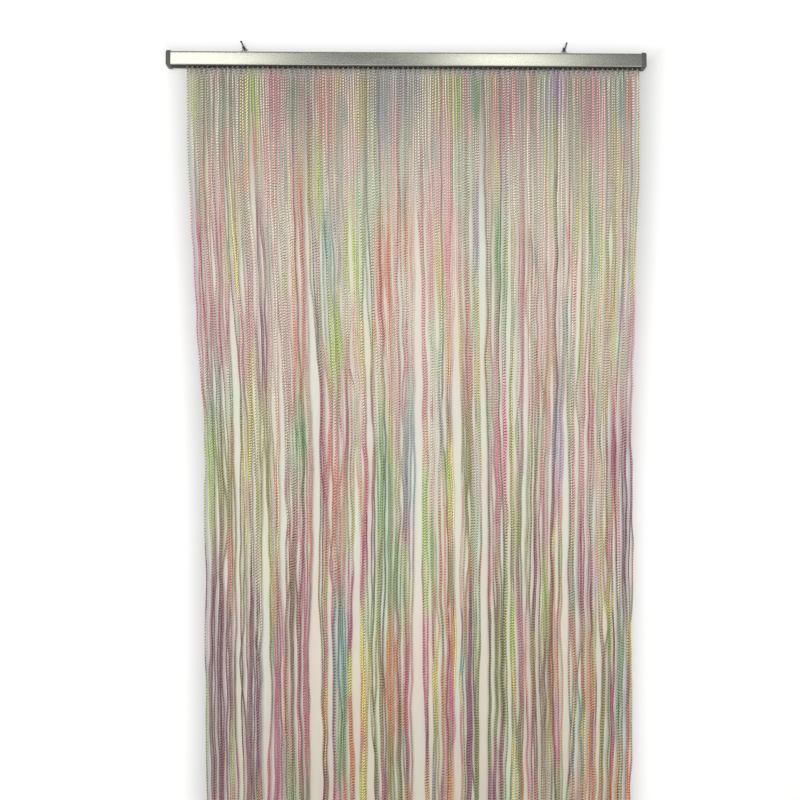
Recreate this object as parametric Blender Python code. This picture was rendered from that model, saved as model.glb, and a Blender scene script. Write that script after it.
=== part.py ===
# A string curtain hanging from its aluminium rail, with the end caps, the two
# hangers on the rail and the two hooks in the wall that carry them.
# X runs along the rail to the right as seen from the room, the wall is the
# plane y = 0 with the curtain on the minus Y side, and Z is up. The origin lies
# on the wall at the height of the hooks' shanks, above the middle of the rail.
import math
import random

import bmesh
import bpy
from mathutils import Matrix, Vector

# Rail, all in metres
RAIL_LENGTH = 0.900  # over both end caps
RAIL_HEIGHT = 0.0262
RAIL_DEPTH = 0.0220
RAIL_WALL = 0.0016
RAIL_TOP = -0.0150  # from the hooks' shanks down to the rail
BEHIND_RAIL = 0.0035  # free space between rail and wall
LIP_ROUND = 0.0040  # rounded upper front edge
LIP_STEPS = 5
GROOVE_HEIGHT = 0.0214  # fine groove under the rounded edge
GROOVE_WIDTH = 0.0006
GROOVE_DEPTH = 0.0005
CREASE_HEIGHT = 0.0110  # the front leans back a little above this
CREASE_LEAN = 0.0005
FOOT_BEVEL = 0.0009
TOP_SLOT = 0.0046  # gap in the top that the hangers slide in
WEB_TOP = 0.0192  # shelf between the hanger slot and the strip channel
WEB_THICK = 0.0012
LOWER_SLOT = 0.0128  # gap in the underside that the strip comes out of
SEAT = 0.0003  # free space between two pieces that touch

# End caps
CAP_WIDTH = 0.0094
CAP_OUTSET = 0.0004
CAP_CORNER = 0.0022
CAP_CORNER_STEPS = 4
# How far each ring of a cap lies from the rail's end, and how much smaller it is.
CAP_RINGS = (
    {"out": 0.0003, "inset": 0.0},
    {"out": 0.0058, "inset": 0.0},
    {"out": 0.0078, "inset": 0.0005},
    {"out": 0.0089, "inset": 0.0013},
    {"out": 0.0094, "inset": 0.0024},
)
PLUG_LENGTH = 0.0110
PLUG_GAP = 0.0004
PLUG_BOTTOM = 0.0062  # above the strip, so that the strip runs to the cap

# Hangers, which slide in the rail's upper slot
PLATE_LENGTH = 0.0170
PLATE_DEPTH = 0.0080
PLATE_THICK = 0.0014
NECK_LENGTH = 0.0090
NECK_DEPTH = 0.0038
FOOT_LENGTH = 0.0140
FOOT_DEPTH = 0.0120
FOOT_THICK = 0.0015
BAIL_WIRE = 0.0009  # radius of the wire eye on the plate
BAIL_RADIUS = 0.0038
BAIL_TOP = 0.0077  # middle of the eye's top, above the rail
BAIL_STEPS = 12

# Hooks, screwed into the wall
HOOK_WIRE = 0.0013
HOOK_BEND = 0.0060
HOOK_TIP = 0.0032  # middle of the ball, above the shank
HOOK_STEPS = 10  # round the bend under the eye
SHANK_STEPS = 4  # round the quarter bend before it
BALL_RADIUS = 0.0020
BALL_ANGLES = (-50, -25, 0, 30, 55, 77)  # rings of the ball, in degrees
WIRE_SIDES = 12
# The hook's collar, as rings from the wall outwards.
COLLAR_RINGS = (
    {"out": 0.0000, "radius": 0.0030},
    {"out": 0.0011, "radius": 0.0030},
    {"out": 0.0016, "radius": 0.0025},
    {"out": 0.0016, "radius": HOOK_WIRE},
)
# Shank's place along the rail, and its turn about the shank in degrees.
HOOKS = {
    "left": {"x": -0.3086, "turn": -24.0},
    "right": {"x": 0.2990, "turn": 16.5},
}

# Strip and strands
STRIP_THICK = 0.0030  # of its wings, which lie in the rail's channel
STRIP_SIDE_GAP = 0.0005
STRIP_BELOW = 0.0014  # how far its body stands out below the rail
STRANDS = 182
FIRST_STRAND = -0.4107
LAST_STRAND = 0.4385
STRAND_RADIUS = 0.0016  # of the circle round its three corners
ROW_OFFSET = 0.0032  # of the two rows of strands, from the middle of the strip
ROW_SPREAD = 0.0010  # more, where the strands hang loose
LEAST_PITCH = 0.0031  # between neighbours in one row
FINAL_DROP = 2.170  # from the strip's underside to the strands' ends
END_UNEVEN = 0.006
SEED = 11
# Drop below the strip, how far the strands have gathered into their clumps, and
# how loose they hang there.
LEVELS = (
    {"drop": 0.00, "gathered": 0.00, "loose": 0.0},
    {"drop": 0.05, "gathered": 0.01, "loose": 0.2},
    {"drop": 0.20, "gathered": 0.14, "loose": 0.6},
    {"drop": 0.40, "gathered": 0.44, "loose": 0.9},
    {"drop": 0.62, "gathered": 0.72, "loose": 1.0},
    {"drop": 0.88, "gathered": 0.92, "loose": 1.0},
    {"drop": 1.16, "gathered": 1.00, "loose": 1.0},
    {"drop": 1.50, "gathered": 1.02, "loose": 1.0},
    {"drop": FINAL_DROP, "gathered": 1.03, "loose": 1.0},
)
CLUMP_SWAY = {"size": 0.0024, "per_metre": 7.0}  # how far, and radians down the drop
ROW_SWAY = {"size": 0.0007, "per_metre": 9.0}
OWN_SWAY = 0.0007
DEPTH_SWAY = 0.0014
# Within a clump the strands are drawn together again, in bundles this far apart.
BUNDLE_PITCH = 0.0165
BUNDLE_DRAW = 0.90
BUNDLE_DRIFT = {"size": 1.1, "per_metre": 3.1, "across": 17.0}
BUNDLE_UNEVEN = {"size": 0.9, "per_metre": 31.0}
SETTLING_TURNS = 80  # of moving neighbours apart
# Clumps from left to right: how many strands, and the clump's two edges.
CLUMPS = (
    {"strands": 14, "left": -0.3750, "right": -0.3188},
    {"strands": 11, "left": -0.3075, "right": -0.2700},
    {"strands": 8, "left": -0.2606, "right": -0.2325},
    {"strands": 14, "left": -0.2269, "right": -0.1800},
    {"strands": 5, "left": -0.1613, "right": -0.1463},
    {"strands": 12, "left": -0.1425, "right": -0.0994},
    {"strands": 6, "left": -0.0900, "right": -0.0731},
    {"strands": 21, "left": -0.0638, "right": 0.0113},
    {"strands": 3, "left": 0.0335, "right": 0.0418},
    {"strands": 6, "left": 0.0469, "right": 0.0656},
    {"strands": 7, "left": 0.0713, "right": 0.0900},
    {"strands": 11, "left": 0.1050, "right": 0.1369},
    {"strands": 11, "left": 0.1538, "right": 0.1894},
    {"strands": 7, "left": 0.1950, "right": 0.2213},
    {"strands": 17, "left": 0.2250, "right": 0.2925},
    {"strands": 5, "left": 0.3030, "right": 0.3172},
    {"strands": 9, "left": 0.3206, "right": 0.3581},
    {"strands": 15, "left": 0.3619, "right": 0.4240},
)

RAIL_FOOT = RAIL_TOP - RAIL_HEIGHT
RAIL_FRONT = -(BEHIND_RAIL + RAIL_DEPTH)
RAIL_MIDDLE = -(BEHIND_RAIL + RAIL_DEPTH / 2)
METAL_END = RAIL_LENGTH / 2 - CAP_WIDTH
WING_BOTTOM = RAIL_FOOT + RAIL_WALL + SEAT
STRIP_FOOT = RAIL_FOOT - STRIP_BELOW
# Middle of the hook's wire where the eye hangs on it
HOOK_LOWEST = RAIL_TOP + BAIL_TOP - BAIL_WIRE - SEAT - HOOK_WIRE


def clear_scene():
    for item in list(bpy.data.objects):
        bpy.data.objects.remove(item, do_unlink=True)


def material(name, colour, roughness, metallic=0.0):
    finish = bpy.data.materials.new(name)
    finish.use_nodes = True
    shader = finish.node_tree.nodes["Principled BSDF"]
    shader.inputs["Base Color"].default_value = (*colour, 1.0)
    shader.inputs["Roughness"].default_value = roughness
    shader.inputs["Metallic"].default_value = metallic
    return finish


def finish_mesh(name, shape, finish, round_part=False):
    """Makes an object of a bmesh, with its faces outwards."""
    bmesh.ops.recalc_face_normals(shape, faces=shape.faces[:])
    mesh = bpy.data.meshes.new(name)
    shape.to_mesh(mesh)
    shape.free()
    mesh.materials.append(finish)
    for face in mesh.polygons:
        face.use_smooth = round_part
    item = bpy.data.objects.new(name, mesh)
    bpy.context.collection.objects.link(item)
    return item


def loft(name, rings, finish, round_part=False):
    """A closed solid through rings of points, with a flat face at each end."""
    shape = bmesh.new()
    rows = [[shape.verts.new(point) for point in ring] for ring in rings]
    for near, far in zip(rows, rows[1:]):
        for i in range(len(near)):
            after = (i + 1) % len(near)
            shape.faces.new((near[i], near[after], far[after], far[i]))
    shape.faces.new(rows[0])
    shape.faces.new(rows[-1])
    return finish_mesh(name, shape, finish, round_part)


def rounded_box(low, high, corner, steps):
    """Points round a rectangle in depth and height, from two of its corners."""
    centres = (
        (high[0] - corner, high[1] - corner, 0),
        (low[0] + corner, high[1] - corner, 90),
        (low[0] + corner, low[1] + corner, 180),
        (high[0] - corner, low[1] + corner, 270),
    )
    points = []
    for depth, height, start in centres:
        for step in range(steps + 1):
            angle = math.radians(start + 90 * step / steps)
            points.append((depth + corner * math.cos(angle), height + corner * math.sin(angle)))
    return points


def rail_section():
    """The rail's outline, as (from the front face to the back, from the foot up)."""
    upper = TOP_SLOT / 2
    lower = LOWER_SLOT / 2
    middle = RAIL_DEPTH / 2
    inner_front = RAIL_WALL + CREASE_LEAN
    inner_back = RAIL_DEPTH - RAIL_WALL
    lip_foot = RAIL_HEIGHT - LIP_ROUND
    points = [
        (FOOT_BEVEL, 0.0),
        (0.0, FOOT_BEVEL),
        (0.0, CREASE_HEIGHT),
        (CREASE_LEAN, GROOVE_HEIGHT - GROOVE_WIDTH / 2),
        (CREASE_LEAN + GROOVE_DEPTH, GROOVE_HEIGHT - GROOVE_WIDTH / 4),
        (CREASE_LEAN + GROOVE_DEPTH, GROOVE_HEIGHT + GROOVE_WIDTH / 4),
        (CREASE_LEAN, GROOVE_HEIGHT + GROOVE_WIDTH / 2),
    ]
    for step in range(LIP_STEPS + 1):
        angle = math.radians(90 * step / LIP_STEPS)
        points.append(
            (
                CREASE_LEAN + LIP_ROUND * (1 - math.cos(angle)),
                lip_foot + LIP_ROUND * math.sin(angle),
            )
        )
    points += [
        (middle - upper, RAIL_HEIGHT),
        (middle - upper, RAIL_HEIGHT - RAIL_WALL),
        (inner_front + LIP_ROUND / 2, RAIL_HEIGHT - RAIL_WALL),
        (inner_front, RAIL_HEIGHT - RAIL_WALL - LIP_ROUND / 2),
        (inner_front, WEB_TOP),
        (inner_back, WEB_TOP),
        (inner_back, RAIL_HEIGHT - RAIL_WALL),
        (middle + upper, RAIL_HEIGHT - RAIL_WALL),
        (middle + upper, RAIL_HEIGHT),
        (RAIL_DEPTH - FOOT_BEVEL, RAIL_HEIGHT),
        (RAIL_DEPTH, RAIL_HEIGHT - FOOT_BEVEL),
        (RAIL_DEPTH, FOOT_BEVEL),
        (RAIL_DEPTH - FOOT_BEVEL, 0.0),
        (middle + lower, 0.0),
        (middle + lower, RAIL_WALL),
        (inner_back, RAIL_WALL),
        (inner_back, WEB_TOP - WEB_THICK),
        (RAIL_WALL, WEB_TOP - WEB_THICK),
        (RAIL_WALL, RAIL_WALL),
        (middle - lower, RAIL_WALL),
        (middle - lower, 0.0),
    ]
    return points


def build_rail(finish):
    section = rail_section()
    rings = [
        [Vector((x, RAIL_FRONT + depth, RAIL_FOOT + height)) for depth, height in section]
        for x in (-METAL_END, METAL_END)
    ]
    return loft("rail", rings, finish)


def build_cap(name, side, finish):
    """A cap over the rail's end, with the plug that holds it in the channel."""
    front, back = RAIL_FRONT - CAP_OUTSET, -BEHIND_RAIL + CAP_OUTSET
    foot, top = STRIP_FOOT - CAP_OUTSET, RAIL_TOP + CAP_OUTSET
    plug_low = (RAIL_FRONT + RAIL_WALL + PLUG_GAP, RAIL_FOOT + PLUG_BOTTOM)
    plug_high = (
        -BEHIND_RAIL - RAIL_WALL - PLUG_GAP,
        RAIL_FOOT + WEB_TOP - WEB_THICK - PLUG_GAP,
    )
    plug = rounded_box(plug_low, plug_high, CAP_CORNER, CAP_CORNER_STEPS)
    sections = [(-PLUG_LENGTH, plug), (CAP_RINGS[0]["out"], plug)]
    for ring in CAP_RINGS:
        inset = ring["inset"]
        low = (front + inset, foot + inset)
        high = (back - inset, top - inset)
        outline = rounded_box(low, high, CAP_CORNER, CAP_CORNER_STEPS)
        sections.append((ring["out"], outline))
    rings = [
        [Vector((side * (METAL_END + out), depth, height)) for depth, height in outline]
        for out, outline in sections
    ]
    return loft(name, rings, finish)


def block_ring(x, length, depth, height):
    return [
        Vector((x + sx * length / 2, RAIL_MIDDLE + sy * depth / 2, height))
        for sx, sy in ((-1, -1), (1, -1), (1, 1), (-1, 1))
    ]


def tube_rings(path, radii, side):
    """Rings round a path that lies in one plane, with side across that plane."""
    rings = []
    for i, centre in enumerate(path):
        before = path[max(i - 1, 0)]
        after = path[min(i + 1, len(path) - 1)]
        forward = (after - before).normalized()
        upward = side.cross(forward).normalized()
        ring = []
        for step in range(WIRE_SIDES):
            angle = 2 * math.pi * step / WIRE_SIDES
            ring.append(centre + radii[i] * (math.cos(angle) * side + math.sin(angle) * upward))
        rings.append(ring)
    return rings


def build_hanger(name, x, finish):
    """Foot and neck in the slot, plate on the rail and the wire eye on the plate."""
    under_lip = RAIL_TOP - RAIL_WALL - SEAT
    plate_foot = RAIL_TOP + SEAT
    plate_top = plate_foot + PLATE_THICK
    rings = [
        block_ring(x, FOOT_LENGTH, FOOT_DEPTH, under_lip - FOOT_THICK),
        block_ring(x, FOOT_LENGTH, FOOT_DEPTH, under_lip),
        block_ring(x, NECK_LENGTH, NECK_DEPTH, under_lip),
        block_ring(x, NECK_LENGTH, NECK_DEPTH, plate_foot),
        block_ring(x, PLATE_LENGTH, PLATE_DEPTH, plate_foot),
        block_ring(x, PLATE_LENGTH, PLATE_DEPTH, plate_top),
    ]
    body = loft(name, rings, finish)
    arc_height = RAIL_TOP + BAIL_TOP - BAIL_RADIUS
    foot = plate_top - PLATE_THICK / 2
    path = [Vector((x + BAIL_RADIUS, RAIL_MIDDLE, foot))]
    for step in range(BAIL_STEPS + 1):
        angle = math.pi * step / BAIL_STEPS
        offset = Vector((math.cos(angle), 0, math.sin(angle))) * BAIL_RADIUS
        path.append(Vector((x, RAIL_MIDDLE, arc_height)) + offset)
    path.append(Vector((x - BAIL_RADIUS, RAIL_MIDDLE, foot)))
    radii = [BAIL_WIRE] * len(path)
    eye = loft(name + "_eye", tube_rings(path, radii, Vector((0, 1, 0))), finish, True)
    eye.hide_render = True
    eye.display_type = "WIRE"
    join = body.modifiers.new("eye", "BOOLEAN")
    join.operation = "UNION"
    join.solver = "EXACT"
    join.object = eye
    return body


def bend(middle, height, radius, first, last, steps):
    """Points of the hook's wire along an arc, from one angle to another."""
    points = []
    for step in range(steps + 1):
        angle = math.radians(first + (last - first) * step / steps)
        away = middle + radius * math.cos(angle)
        points.append((away, height + radius * math.sin(angle), HOOK_WIRE))
    return points


def build_hook(name, x, turn, finish):
    """Collar at the wall, shank, bend under the eye and the ball at the tip."""
    reach = -RAIL_MIDDLE
    bend_height = HOOK_BEND + HOOK_LOWEST / math.cos(math.radians(turn))
    quarter = -bend_height
    flat = [(ring["out"], 0.0, ring["radius"]) for ring in COLLAR_RINGS]
    flat += bend(reach - HOOK_BEND - quarter, bend_height, quarter, 90, 0, SHANK_STEPS)
    flat += bend(reach, bend_height, HOOK_BEND, 180, 360, HOOK_STEPS)[1:]
    for degrees in BALL_ANGLES:
        angle = math.radians(degrees)
        height = HOOK_TIP + BALL_RADIUS * math.sin(angle)
        flat.append((reach + HOOK_BEND, height, BALL_RADIUS * math.cos(angle)))
    path = [Vector((0, -forward, height)) for forward, height, radius in flat]
    radii = [radius for forward, height, radius in flat]
    rings = tube_rings(path, radii, Vector((1, 0, 0)))
    # The collar's rings stand straight across the shank.
    for i in range(len(COLLAR_RINGS)):
        rings[i] = [Vector((p.x, path[i].y, p.z)) for p in rings[i]]
    place = Matrix.Translation((x, 0, 0)) @ Matrix.Rotation(math.radians(turn), 4, "Y")
    rings = [[place @ point for point in ring] for ring in rings]
    return loft(name, rings, finish, True)


def keep_apart(places, least):
    """Moves neighbours apart until none is nearer than least, in order."""
    for turn in range(SETTLING_TURNS):
        for i in range(len(places) - 1):
            lack = least - (places[i + 1] - places[i])
            if lack > 0:
                places[i] -= lack / 2
                places[i + 1] += lack / 2
    for i in range(len(places) - 1):
        places[i + 1] = max(places[i + 1], places[i] + least)
    return places


def drawn_to_bundle(place, drop, loose):
    """Moves a strand towards the middle of the bundle that it hangs in."""
    turn = 2 * math.pi * place / BUNDLE_PITCH
    turn += BUNDLE_UNEVEN["size"] * math.sin(place * BUNDLE_UNEVEN["per_metre"])
    drift = drop * BUNDLE_DRIFT["per_metre"] + place * BUNDLE_DRIFT["across"]
    turn += BUNDLE_DRIFT["size"] * math.sin(drift)
    return place - loose * BUNDLE_DRAW * BUNDLE_PITCH / (2 * math.pi) * math.sin(turn)


def strand_paths():
    """For each strand, its (x, y, drop) at every level."""
    rng = random.Random(SEED)
    pitch = (LAST_STRAND - FIRST_STRAND) / (STRANDS - 1)
    tops = [FIRST_STRAND + i * pitch for i in range(STRANDS)]
    lows, clump_of = [], []
    for number, clump in enumerate(CLUMPS):
        width = clump["right"] - clump["left"]
        for i in range(clump["strands"]):
            lows.append(clump["left"] + width * (i + 0.5) / clump["strands"])
            clump_of.append(number)
    phases = [rng.uniform(0, 2 * math.pi) for clump in CLUMPS]
    row_phases = [[rng.uniform(0, 2 * math.pi) for clump in CLUMPS] for row in (0, 1)]
    ends = [FINAL_DROP + rng.uniform(-END_UNEVEN, END_UNEVEN) for i in range(STRANDS)]
    paths = [[] for i in range(STRANDS)]
    for number, level in enumerate(LEVELS):
        loose = level["loose"]
        places, depths = [], []
        for i in range(STRANDS):
            clump = clump_of[i]
            row = i % 2
            place = tops[i] + (lows[i] - tops[i]) * level["gathered"]
            place = drawn_to_bundle(place, level["drop"], loose)
            turn = phases[clump] + level["drop"] * CLUMP_SWAY["per_metre"]
            row_turn = row_phases[row][clump] + level["drop"] * ROW_SWAY["per_metre"]
            place += loose * CLUMP_SWAY["size"] * math.sin(turn)
            place += loose * ROW_SWAY["size"] * math.sin(row_turn)
            place += loose * OWN_SWAY * rng.uniform(-1, 1)
            places.append(place)
            side = 1 if row else -1
            depth = side * (ROW_OFFSET + loose * ROW_SPREAD)
            depths.append(RAIL_MIDDLE + depth + loose * DEPTH_SWAY * rng.uniform(-1, 1))
        for row in (0, 1):
            places[row::2] = keep_apart(places[row::2], LEAST_PITCH)
        last = number == len(LEVELS) - 1
        for i in range(STRANDS):
            drop = ends[i] if last else level["drop"]
            paths[i].append((places[i], depths[i], drop))
    return paths


def strand_ring(x, y, z):
    """Three corners, with a flat side to the room."""
    wide = STRAND_RADIUS * math.cos(math.radians(30))
    near = STRAND_RADIUS * math.sin(math.radians(30))
    corners = ((-wide, -near), (wide, -near), (0, STRAND_RADIUS))
    return [Vector((x + across, y + depth, z)) for across, depth in corners]


def strip_section():
    """The strip above its foot: body in the slot, wings in the channel, front to back."""
    wing = RAIL_DEPTH / 2 - RAIL_WALL - STRIP_SIDE_GAP
    body = LOWER_SLOT / 2 - SEAT
    wing_top = WING_BOTTOM + STRIP_THICK
    return [
        (RAIL_MIDDLE - body, WING_BOTTOM),
        (RAIL_MIDDLE - wing, WING_BOTTOM),
        (RAIL_MIDDLE - wing, wing_top),
        (RAIL_MIDDLE + wing, wing_top),
        (RAIL_MIDDLE + wing, WING_BOTTOM),
        (RAIL_MIDDLE + body, WING_BOTTOM),
    ]


def build_strands(finish):
    """The strip in the rail with every strand grown out of its underside."""
    paths = strand_paths()
    section = strip_section()
    front, back = section[0][0], section[-1][0]
    tops = [path[0][0] for path in paths]
    end = METAL_END - 2 * SEAT
    edges = [-end] + [(a + b) / 2 for a, b in zip(tops, tops[1:])] + [end]
    shape = bmesh.new()
    fronts = [shape.verts.new((x, front, STRIP_FOOT)) for x in edges]
    backs = [shape.verts.new((x, back, STRIP_FOOT)) for x in edges]
    first_end = [shape.verts.new((-end, y, z)) for y, z in section]
    last_end = [shape.verts.new((end, y, z)) for y, z in section]
    for i in range(len(section) - 1):
        shape.faces.new((first_end[i], first_end[i + 1], last_end[i + 1], last_end[i]))
    shape.faces.new((*fronts, last_end[0], first_end[0]))
    shape.faces.new((*backs, last_end[-1], first_end[-1]))
    shape.faces.new((fronts[0], backs[0], *reversed(first_end)))
    shape.faces.new((fronts[-1], backs[-1], *reversed(last_end)))
    for i, path in enumerate(paths):
        rings = [strand_ring(x, y, STRIP_FOOT - drop) for x, y, drop in path]
        rows = [[shape.verts.new(point) for point in ring] for ring in rings]
        left, right, rear = rows[0]
        corners = (fronts[i], fronts[i + 1], backs[i + 1], backs[i])
        for face in (
            (corners[0], corners[1], right),
            (corners[0], right, left),
            (corners[1], corners[2], right),
            (corners[2], rear, right),
            (corners[2], corners[3], rear),
            (corners[3], left, rear),
            (corners[3], corners[0], left),
        ):
            shape.faces.new(face)
        for near, far in zip(rows, rows[1:]):
            for a, b in ((0, 1), (1, 2), (2, 0)):
                shape.faces.new((near[a], near[b], far[b], far[a]))
        shape.faces.new(rows[-1])
    return finish_mesh("strands", shape, finish)


clear_scene()
aluminium = material("aluminium", (0.66, 0.66, 0.62), 0.32, 1.0)
dark_plastic = material("dark plastic", (0.085, 0.088, 0.085), 0.45)
grey_steel = material("grey steel", (0.30, 0.30, 0.29), 0.38, 1.0)
black_steel = material("black steel", (0.035, 0.035, 0.035), 0.42, 0.8)
dyed_cord = material("dyed cord", (0.52, 0.41, 0.35), 0.85)

build_rail(aluminium)
build_cap("cap_left", -1, dark_plastic)
build_cap("cap_right", 1, dark_plastic)
for side, hook in HOOKS.items():
    build_hook("hook_" + side, hook["x"], hook["turn"], black_steel)
    aside = HOOK_LOWEST * math.tan(math.radians(hook["turn"]))
    build_hanger("hanger_" + side, hook["x"] + aside, grey_steel)
build_strands(dyed_cord)
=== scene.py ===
# %% [markdown]
# A string curtain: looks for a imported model
#
# A string curtain keeps flies out of an open door. Many dyed cords hang side by side from a metal
# rail, and the rail hangs on two hooks in the wall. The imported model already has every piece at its
# real size. This script gives each one its finish, and makes the cords fine enough for a close look.
# A learner can read it from top to bottom, because each value is made where it is first needed.

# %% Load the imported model
import math
import random

import bmesh
import bpy
import numpy as np
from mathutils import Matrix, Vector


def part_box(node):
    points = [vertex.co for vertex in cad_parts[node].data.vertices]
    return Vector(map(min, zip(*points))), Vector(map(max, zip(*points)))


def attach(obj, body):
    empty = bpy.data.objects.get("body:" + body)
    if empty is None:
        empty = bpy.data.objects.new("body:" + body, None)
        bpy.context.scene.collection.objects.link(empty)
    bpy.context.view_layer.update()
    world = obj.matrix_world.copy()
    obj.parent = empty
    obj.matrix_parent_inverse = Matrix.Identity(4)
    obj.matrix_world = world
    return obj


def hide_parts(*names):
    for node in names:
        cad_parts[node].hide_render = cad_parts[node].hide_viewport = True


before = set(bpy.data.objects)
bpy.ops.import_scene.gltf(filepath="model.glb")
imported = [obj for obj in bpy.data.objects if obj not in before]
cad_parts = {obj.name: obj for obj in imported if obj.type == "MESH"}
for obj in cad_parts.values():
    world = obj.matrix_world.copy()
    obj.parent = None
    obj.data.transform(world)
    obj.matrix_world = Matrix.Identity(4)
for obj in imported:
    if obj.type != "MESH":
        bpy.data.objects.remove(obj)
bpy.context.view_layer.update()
print("nodes:", sorted(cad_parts))

# %% [markdown]
# Where the camera stands
#
# The photograph looks straight at the curtain from a little left of its middle, and level, so that
# the uprights stay upright. One pixel is nearly 1.9 mm at the rail's face, which fixes how wide the
# view is there. From closer, through a wider lens, more of the rail's underside would show.

# %% Camera
PICTURE_PIXELS = 800
METRES_PER_PIXEL = 0.001868
VIEW_CENTRE = (-0.0132, -0.0255, -0.6667)
VIEW_DISTANCE = 1.70
CAMERA_LEFT = 0.024
SENSOR_WIDTH = 36.0


def add_object(name, data):
    """Puts a camera, lamp or mesh into the scene, as an object."""
    made = bpy.data.objects.new(name, data)
    bpy.context.scene.collection.objects.link(made)
    return made


def make_camera():
    """A level camera that looks at the middle of the view, from slightly left of it."""
    data = bpy.data.cameras.new("camera")
    camera = add_object("camera", data)
    x, y, z = VIEW_CENTRE
    camera.location = (x - CAMERA_LEFT, y - VIEW_DISTANCE, z)
    camera.rotation_euler = (math.pi / 2, 0, -math.atan2(CAMERA_LEFT, VIEW_DISTANCE))
    data.sensor_width = SENSOR_WIDTH
    data.lens = SENSOR_WIDTH * VIEW_DISTANCE / (PICTURE_PIXELS * METRES_PER_PIXEL)
    bpy.context.scene.camera = camera
    return camera


camera = make_camera()
print("lens", round(camera.data.lens, 1), "mm at", VIEW_DISTANCE, "m")

# %% [markdown]
# Sums on shader sockets
#
# A finish is worked out for each point of a surface: a twist is a cosine of an angle, wear is a
# noise past some value. In the node editor each plus and times is a node of its own. The class
# below lets Python write them instead. `1 - mask` adds one Math node and gives back its output, and
# one method adds any other node, with its settings first and its sockets after.


# %% A socket that can be added and multiplied
class Shade:
    """A socket of a finish or the sky, on which Python's sums add Math nodes."""

    def __init__(self, tree, socket=None):
        self.tree = tree
        self.socket = socket

    def node(self, kind, settings=None, inputs=None, output=0):
        """Adds a node: its settings come first, then its sockets' values or links."""
        made = self.tree.nodes.new(kind)
        for name, value in (settings or {}).items():
            setattr(made, name, value)
        for name, value in (inputs or {}).items():
            if isinstance(value, Shade):
                self.tree.links.new(value.socket, made.inputs[name])
            else:
                made.inputs[name].default_value = value
        return Shade(self.tree, made.outputs[output])

    def sum(self, operation, *values):
        return self.node("ShaderNodeMath", {"operation": operation}, dict(enumerate(values)))

    def __add__(self, other):
        return self.sum("ADD", self, other)

    def __radd__(self, other):
        return self.sum("ADD", other, self)

    def __sub__(self, other):
        return self.sum("SUBTRACT", self, other)

    def __rsub__(self, other):
        return self.sum("SUBTRACT", other, self)

    def __mul__(self, other):
        return self.sum("MULTIPLY", self, other)

    def __rmul__(self, other):
        return self.sum("MULTIPLY", other, self)


# %% Short names for the nodes that most finishes use
def new_finish(name):
    """An empty material of one Principled shader, and the Shade that its nodes start from."""
    material = bpy.data.materials.new(name)
    material.use_nodes = True
    return material, Shade(material.node_tree)


def ease(start, value, low, high):
    """Goes softly from 0 to 1 as the value goes from low to high."""
    settings = {"interpolation_type": "SMOOTHSTEP"}
    inputs = {"Value": value, "From Min": low, "From Max": high}
    return start.node("ShaderNodeMapRange", settings, inputs)


def mix(start, factor, first, second, blend="MIX"):
    """Mixes two colours, which are the inputs 6 and 7 of the Mix node, into its output 2."""
    settings = {"data_type": "RGBA", "blend_type": blend}
    return start.node("ShaderNodeMix", settings, {0: factor, 6: first, 7: second}, output=2)


def place_on(start):
    """The place on the object, in metres."""
    return start.node("ShaderNodeTexCoord", output="Object")


def kept(start, name, output="Color"):
    """A value that the mesh keeps on its points as an attribute."""
    return start.node("ShaderNodeAttribute", {"attribute_name": name}, output=output)


def axis(start, vector, letter):
    """The X, Y or Z of a vector."""
    return start.node("ShaderNodeSeparateXYZ", None, {0: vector}, output=letter)


def noise(start, scale, detail=2.0):
    """A cloudy value around 0.5, with `scale` clouds a metre along X, Y and Z."""
    times = {"operation": "MULTIPLY"}
    place = start.node("ShaderNodeVectorMath", times, {0: place_on(start), 1: scale})
    inputs = {"Vector": place, "Scale": 1.0, "Detail": detail}
    return start.node("ShaderNodeTexNoise", None, inputs)


def bump(start, height, distance):
    """The normal of a surface that is raised by `height` times `distance` in metres."""
    return start.node("ShaderNodeBump", None, {"Height": height, "Distance": distance})


def finish(start, **surface):
    """Sets the Principled shader: underscores in a name stand for its spaces."""
    shader = start.tree.nodes["Principled BSDF"]
    for name, value in surface.items():
        socket = shader.inputs[name.replace("_", " ")]
        if isinstance(value, Shade):
            start.tree.links.new(value.socket, socket)
        else:
            socket.default_value = value


print("shader helpers are ready")

# %% [markdown]
# Where each cord runs
#
# The cords are looped over a strip in the rail, so each loop has a leg in front and one behind. They
# leave the strip evenly. Lower down they gather in clumps with gaps between them, and in each clump
# they cling together in small bundles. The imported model's cords are three-sided and bend at nine
# levels. These are the same levels, clumps, bundles and random draws, so that the fine cords run
# where those do, but for the small waves that follow.

# %% Values of the rail and the cords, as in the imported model
STRIP_FOOT = -0.0426
RAIL_MIDDLE = -0.0145
STRANDS = 182
FIRST_STRAND = -0.4107
LAST_STRAND = 0.4385
ROW_OFFSET = 0.0032
ROW_SPREAD = 0.0010
LEAST_PITCH = 0.0031
FINAL_DROP = 2.170
END_UNEVEN = 0.006
SEED = 11
CLUMP_SWAY = {"size": 0.0024, "per_metre": 7.0}
ROW_SWAY = {"size": 0.0007, "per_metre": 9.0}
OWN_SWAY = 0.0007
DEPTH_SWAY = 0.0014
BUNDLE_PITCH = 0.0165
BUNDLE_DRAW = 0.90
BUNDLE_DRIFT = {"size": 1.1, "per_metre": 3.1, "across": 17.0}
BUNDLE_UNEVEN = {"size": 0.9, "per_metre": 31.0}
SETTLING_TURNS = 80


def table(columns, rows):
    """A list with a dictionary for each row, whose keys are the names of the columns."""
    return [dict(zip(columns.split(), row)) for row in rows]


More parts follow.
